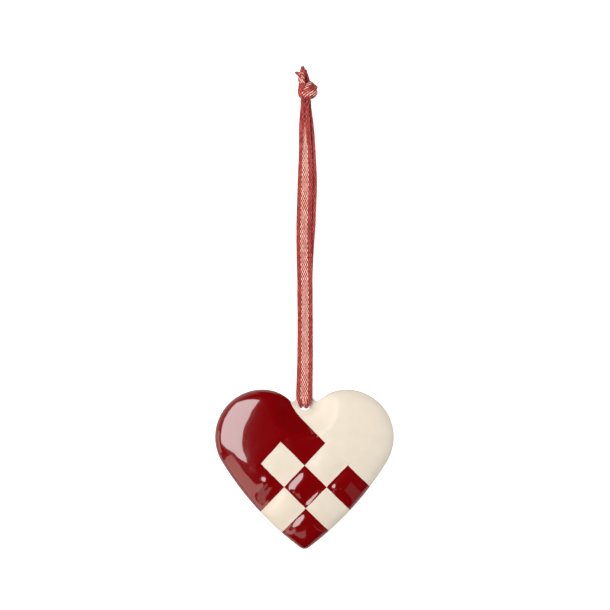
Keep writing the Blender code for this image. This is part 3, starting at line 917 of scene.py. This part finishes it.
def line_rule(first, second, toward):
    """A line as a unit direction across it and its distance from the middle, growing towards a point."""
    first, second = Vector(first) * MM, Vector(second) * MM
    along = (second - first).normalized()
    across = Vector((-along.y, along.x))
    if across.dot(Vector(toward) * MM - first) < 0:
        across = -across
    return across, across.dot(first)


LOW_RIGHT, LOW_LEFT = (20.0, -20.0), (-20.0, -20.0)
u_lines = [line_rule(*ends, LOW_RIGHT) for ends in FALLING_LINES]
v_lines = [line_rule(*ends, LOW_LEFT) for ends in RISING_LINES]
for across, offset in u_lines + v_lines:
    print("line across", [round(part, 3) for part in across], "at", in_mm(offset), "mm")

# %% The grooves between the squares
GROOVE_DEPTH = 0.66 * MM
# How far a groove reaches before and after its line: two of the falling ones come on gently and end steeply
EVEN, NARROW = (2.0 * MM, 2.0 * MM), (1.5 * MM, 1.5 * MM)
GENTLE_FIRST, STEEP_AFTER = (6.0 * MM, 2.5 * MM), (3.0 * MM, 1.9 * MM)
# Over what length a groove begins or ends at another line, and how slowly the middle falling one begins
BEGINS_OVER, LONG_BEGINS_OVER = 2.0 * MM, 7.0 * MM
# Between the red middle square and the cream one below it, the pressed line misses the painted one
MISSED_BY = 2.2 * MM
# By the tab the first rising line bends up round this point, and so keeps clear of the hole
CORNER_CENTRE = np.array((12.43, 31.82)) * MM
across, offset = v_lines[0]
CORNER_RADIUS = abs(float(CORNER_CENTRE @ np.array(across) - offset))
CORNER_BEGINS = np.array((-across.y, across.x))


def groove_share(points):
    """How deep in a groove each point is: 0 on a square, and up to 1 or a little more on a border."""
    u, v = ([points @ np.array(across) - offset for across, offset in rules] for rules in (u_lines, v_lines))

    def past(distance):
        return smooth_step(distance / BEGINS_OVER + 0.5)

    to_corner = points - CORNER_CENTRE
    round_part = np.hypot(*to_corner.T) - CORNER_RADIUS
    top_border = np.where(to_corner @ CORNER_BEGINS < 0, round_part, v[0])
    between = past(v[1]) * past(-v[2])
    # The distance from each border, how deep its groove is pressed and how far that reaches
    borders = (
        (u[0], 0.1 * between, EVEN),
        (u[1], 1.15 * smooth_step(v[0] / LONG_BEGINS_OVER), GENTLE_FIRST),
        (u[2] + MISSED_BY * between, past(v[0]), STEEP_AFTER),
        (top_border, 0.4 * (1 - past(u[1]) * past(-u[2])), EVEN),
        (v[1], 0.8 * past(u[0]), EVEN),
        (v[2], 0.8 * past(u[0]), NARROW),
    )
    flat = np.ones(len(points))
    for distance, strength, (before, after) in borders:
        flat *= 1 - strength * np.exp(-((distance / np.where(distance < 0, before, after)) ** 2))
    return 1 - flat


print("grooves along", len(u_lines + v_lines), "lines, up to", in_mm(GROOVE_DEPTH), "mm deep")

# %% Small rises and waves in the poured enamel
# Each rise: its place, its radii towards the window and along it, and its height, in millimetres
RISES = ((-13.7, -4.5, 1.8, 3.4, 0.40), (11.5, -6.7, 1.4, 1.4, 0.26))
RISE_AXES = np.array(((-0.87, -0.5), (0.5, -0.87)))
# How many waves, between which lengths in millimetres they are drawn, and the length whose height is as given
WAVES, WAVE_LENGTHS, USUAL_LENGTH = 14, (4.0, 10.0), 7.0 * MM


def rise_height(points):
    total = np.zeros(len(points))
    for x, y, across, along, height in RISES:
        from_top = (points / MM - (x, y)) @ RISE_AXES / (across, along)
        total += height * MM * np.exp(-(from_top**2).sum(axis=1))
    return total


def waviness(points, seed, height):
    """A very slight unevenness of poured enamel, as a sum of long waves."""
    draw = np.random.default_rng(seed).uniform
    total = np.zeros(len(points))
    for _ in range(WAVES):
        angle, length, shift = draw(0, 2 * np.pi), draw(*WAVE_LENGTHS) * MM, draw(0, 2 * np.pi)
        ray = np.array((math.cos(angle), math.sin(angle)))
        total += np.sin(points @ ray * 2 * np.pi / length + shift) * length / USUAL_LENGTH
    return total * height / math.sqrt(WAVES)


print("small rises:", len(RISES), "and waves:", WAVES)

# %% The heart's mesh
FRONT_RINGS, BACK_RINGS = 130, 60
RING_CROWDING = 1.75
# The grooves and waves fade out over this band along the edge
EDGE_BAND = 3.0 * MM
WAVE_HEIGHT, WAVE_SEED = 0.011 * MM, 4
# The back's crown is level where it rests on the table
REST_LEVEL = 0.0


def dome_points(count, facing):
    """One dome's rings from the outline inward, closest together at the edge, and its crown."""
    shares = 1 - (np.arange(1, count) / count) ** RING_CROWDING
    places = np.concatenate([outline * share for share in shares] + [middle])
    depth = depth_inside(places)
    height = dome_height(places, depth)
    inside = smooth_step(depth / EDGE_BAND)
    if facing > 0:
        height = height - GROOVE_DEPTH * groove_share(places) * inside + rise_height(places)
    height = height + waviness(places, WAVE_SEED + facing, WAVE_HEIGHT) * inside
    return np.column_stack([places, np.maximum(SEAM_HEIGHT + facing * height, REST_LEVEL)])


def heart_mesh(material):
    """Both domes and the seam's edge between them, as rings that are closed with a fan at each crown."""
    size = len(outline)
    front, back = dome_points(FRONT_RINGS, 1), dome_points(BACK_RINGS, -1)
    front_rings = front[:-1].reshape(-1, size, 3)[::-1].reshape(-1, 3)
    edge = np.column_stack([outline, np.full(size, SEAM_HEIGHT)])
    points = np.concatenate([front[-1:], front_rings, edge, back])
    end = len(points) - 1
    faces = [(1 + a, 1 + d, 1 + c, 1 + b) for a, b, c, d in grid_faces((end - 1) // size, size, closed=True)]
    beside = [(k, (k + 1) % size) for k in range(size)]
    faces += [(0, 1 + a, 1 + b) for a, b in beside] + [(end, end - size + b, end - size + a) for a, b in beside]
    mesh = new_mesh("heart", points, faces, material)
    face_outwards(mesh)
    return mesh


print("rings on the front and the back:", FRONT_RINGS, BACK_RINGS)

# %% [markdown]
# ## The hole
#
# The hole goes through the flat tab, and enamel rounds its edge on both faces. A plain cylinder would leave two sharp
# edges. The cutter is turned like a spool instead, wider at both faces, and the rounded lip is what it leaves.

# %% A spool that cuts the hole
LIP = 0.32 * MM
SPOOL_REACH = 0.25 * MM
AROUND = 96


def spool(material):
    half = SEAM_THICKNESS / 2
    profile = [(HOLE_DIAMETER / 2, 0.0)]
    for angle in np.radians(np.linspace(0, 84, 8)):
        profile.append((HOLE_DIAMETER / 2 + LIP * (1 - math.cos(angle)), half - LIP + LIP * math.sin(angle)))
    profile.append((HOLE_DIAMETER / 2 + LIP + SPOOL_REACH, half + SPOOL_REACH))
    profile = [(radius, -level) for radius, level in profile[:0:-1]] + profile
    turns = [(math.cos(angle), math.sin(angle)) for angle in np.linspace(0, 2 * np.pi, AROUND, endpoint=False)]
    points = [(HOLE.x + r * x, HOLE.y + r * y, SEAM_HEIGHT + level) for r, level in profile for x, y in turns]
    ends = [tuple(range(AROUND)), tuple(range(len(points) - AROUND, len(points)))]
    mesh = new_mesh("spool", points, grid_faces(len(profile), AROUND, closed=True) + ends, material)
    face_outwards(mesh)
    return new_object("spool", mesh)


def cut_hole(obj, cutter):
    """Takes the cutter out of the object, and leaves a plain mesh."""
    modifier = obj.modifiers.new("hole", "BOOLEAN")
    modifier.operation = "DIFFERENCE"
    modifier.object = cutter
    mesh = evaluated(obj)
    obj.modifiers.clear()
    obj.data = mesh
    bpy.data.objects.remove(cutter)


print("the hole's lip is", in_mm(LIP), "mm round")

# %% [markdown]
# ## Enamel
#
# Enamel is coloured glass melted onto the metal: a smooth, deep colour under a hard gloss. A glossy plastic shader
# would have one reflection. Here the coloured layer has its own soft gloss with a little orange peel, and a clear
# coat on top gives the sharp reflections. The red is fired last and is the glossier of the two, so the cream has
# hardly any of the coat.

# %% The enamel
RED_ENAMEL = (0.188, 0.0008, 0.0020)
CREAM_ENAMEL = (0.738, 0.668, 0.552)
# The coat and the roughness, each on cream and on red
FINISHES = (("Coat Weight", 0.05, 1.0), ("Roughness", 0.46, 0.16))
BORDER_WOBBLE = 0.25 * MM

enamel, tree, shader = start_material("enamel", IOR=1.36, Coat_Roughness=0.025, Coat_IOR=1.72)


def side_of(tree, where, rule):
    """1 where a place is past a line of the check, and 0 before it."""
    across, offset = rule
    return calculate(tree, "GREATER_THAN", vector(tree, "DOT_PRODUCT", where, (*across, 0.0)), offset)


def red_share(tree, where):
    """1 on red enamel and 0 on cream."""
    number = partial(calculate, tree)
    wobble = add_node(tree, "ShaderNodeTexNoise", {"Vector": where, "Scale": 350.0, "Detail": 1.0}).outputs["Color"]
    shift = vector(tree, "SCALE", vector(tree, "SUBTRACT", wobble, (0.5, 0.5, 0.5)), BORDER_WOBBLE)
    place = vector(tree, "ADD", where, shift)
    u, v = ([side_of(tree, place, rule) for rule in rules] for rules in (u_lines, v_lines))
    crossed = number("ADD", number("ADD", u[1], u[2]), number("ADD", v[1], v[2]))
    odd = number("MULTIPLY", number("MODULO", crossed, 2.0), u[0])
    # Red begins past the first rising line, or past the round bend where that line nears the tab
    flat = vector(tree, "MULTIPLY", place, (1.0, 1.0, 0.0))
    outside = number("GREATER_THAN", vector(tree, "DISTANCE", flat, (*CORNER_CENTRE, 0.0)), CORNER_RADIUS)
    turning = side_of(tree, place, (-CORNER_BEGINS, -float(CORNER_CENTRE @ CORNER_BEGINS)))
    straight = number("MULTIPLY", number("SUBTRACT", 1.0, turning), v[0])
    below = number("ADD", number("MULTIPLY", turning, outside), straight)
    height = add_node(tree, "ShaderNodeSeparateXYZ", {0: where}).outputs[2]
    on_back = number("LESS_THAN", height, SEAM_HEIGHT - SEAM_THICKNESS / 2)
    return number("MAXIMUM", number("MULTIPLY", below, number("SUBTRACT", 1.0, odd)), on_back)


where = tree.nodes.new("ShaderNodeTexCoord").outputs["Object"]
is_red = red_share(tree, where)
colour = mixed(tree, is_red, CREAM_ENAMEL, RED_ENAMEL)
tree.links.new(mottled(tree, colour, scale=260.0, amount=0.05, detail=3.0), shader.inputs["Base Color"])
for socket, on_cream, on_red in FINISHES:
    tree.links.new(calculate(tree, "MULTIPLY_ADD", is_red, on_red - on_cream, on_cream), shader.inputs[socket])
peel = made_by(tree, "ShaderNodeTexNoise", {"Vector": where, "Scale": 420.0, "Detail": 1.5})
bump = made_by(tree, "ShaderNodeBump", {"Strength": 0.9, "Distance": 0.04 * MM, "Height": peel})
tree.links.new(bump, shader.inputs["Normal"])
print("enamel:", len(tree.nodes), "nodes")

# %% Make the heart
heart = new_object("heart_enamelled", heart_mesh(enamel))
cut_hole(heart, spool(enamel))
heart.data.shade_smooth()
heart.data.set_sharp_from_angle(angle=math.radians(50))
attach(heart, "root")
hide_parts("heart")
print("triangles in the heart:", triangles(heart))

# %% [markdown]
# ## The table and the light
#
# The photograph has a plain white ground without a shadow, and one large window-like light from the upper left, whose
# reflection stands in the red lobe, with weaker light from the lower left and the right. Straight above it is dark,
# which keeps the red deep. A sky of even light would grey it. So the sky and one soft light from the right are never
# mirrored and only bring out the cloth and the cream, and the other panels do the mirroring. The paper glows for the
# camera alone, which leaves hardly any shadow and doesn't light the heart from below.

# %% The table
REACH = 2.0
PAPER_LEVEL = -0.02 * MM
BLACK, GREY, GLOW = ((level, level, level) for level in (0.0, 0.55, 0.95))

paper, tree, shader = start_material("white paper", Roughness=0.9, Specular_IOR_Level=0.1)
tree.links.new(mottled(tree, GREY, scale=40.0, amount=0.004), shader.inputs["Base Color"])
for_camera = tree.nodes.new("ShaderNodeLightPath").outputs["Is Camera Ray"]
tree.links.new(mixed(tree, for_camera, BLACK, GLOW), shader.inputs["Emission Color"])
shader.inputs["Emission Strength"].default_value = 1.0
corners = [(x * REACH, y * REACH, 0.0) for x, y in ((-1, -1), (1, -1), (1, 1), (-1, 1))]
table = new_object("table", new_mesh("table", corners, [(0, 1, 2, 3)], paper))
table.location.z = PAPER_LEVEL
print("the table is", 2 * REACH, "m wide")

# %% The lights
HEART_SPOT = Vector((-5.0, 3.0, 8.0)) * MM
WHITE, UPRIGHT = (1.0, 1.0, 1.0), (0.0, 0.0, 1.0)
# Each panel: the way to it, its distance, width and height in metres, its radiance, its colour and its upward side
PANELS = (
    ("window light", (-0.558, 0.279, 0.782), 0.8, 0.60, 0.86, 5.0, (1.0, 0.99, 0.985), (0.30, 0.94, -0.15)),
    ("low board", (-0.683, -0.573, 0.454), 0.9, 0.31, 0.87, 1.6, (1.0, 0.70, 0.61), UPRIGHT),
    ("lower fill", (-0.19, -0.61, 0.77), 0.9, 0.50, 0.14, 0.8, (1.0, 0.78, 0.72), (-0.29, 0.78, 0.54)),
    ("left glow", (-0.968, -0.136, 0.21), 0.9, 0.42, 0.28, 1.65, (1.0, 0.72, 0.58), UPRIGHT),
    ("left wall", (-0.75, 0.62, 0.2), 1.0, 1.8, 0.45, 0.35, (1.0, 0.8, 0.75), UPRIGHT),
    ("right wall", (0.617, -0.596, 0.515), 1.0, 0.15, 1.05, 0.2, (1.0, 0.85, 0.8), UPRIGHT),
    ("right fill", (0.97, 0.05, 0.24), 0.9, 0.35, 0.35, 0.8, WHITE, UPRIGHT),
    ("soft side light", (0.93, -0.10, 0.36), 1.0, 0.9, 0.9, 2.75, WHITE, UPRIGHT),
)
# The sky's strength for every other ray, and how much brighter the camera sees it
SKY, SKY_SEEN = 0.11, 0.89


def panel(name, toward, distance, width, height, radiance, colour, up):
    """A rectangular light that faces the heart, as bright as its radiance says wherever it is mirrored."""
    data = bpy.data.lights.new(name, "AREA")
    data.shape = "RECTANGLE"
    data.size, data.size_y = width, height
    data.energy = radiance * math.pi * width * height
    data.color = colour
    obj = new_object(name, data)
    back = Vector(toward).normalized()
    upward = (Vector(up) - back * back.dot(Vector(up))).normalized()
    turn = Matrix((upward.cross(back), upward, back)).transposed()
    obj.matrix_world = Matrix.Translation(HEART_SPOT + back * distance) @ turn.to_4x4()
    return obj


lights = [panel(*values) for values in PANELS]
lights[-1].visible_glossy = False

world = bpy.data.worlds.new("studio")
bpy.context.scene.world = world
world.use_nodes = True
tree, sky = world.node_tree, world.node_tree.nodes["Background"]
for_camera = tree.nodes.new("ShaderNodeLightPath").outputs["Is Camera Ray"]
tree.links.new(calculate(tree, "MULTIPLY_ADD", for_camera, SKY_SEEN, SKY), sky.inputs["Strength"])
sky.inputs["Color"].default_value = (*WHITE, 1.0)
world.cycles_visibility.glossy = False
bpy.context.scene.view_settings.view_transform = "Standard"
print("lights:", [light.name for light in lights])
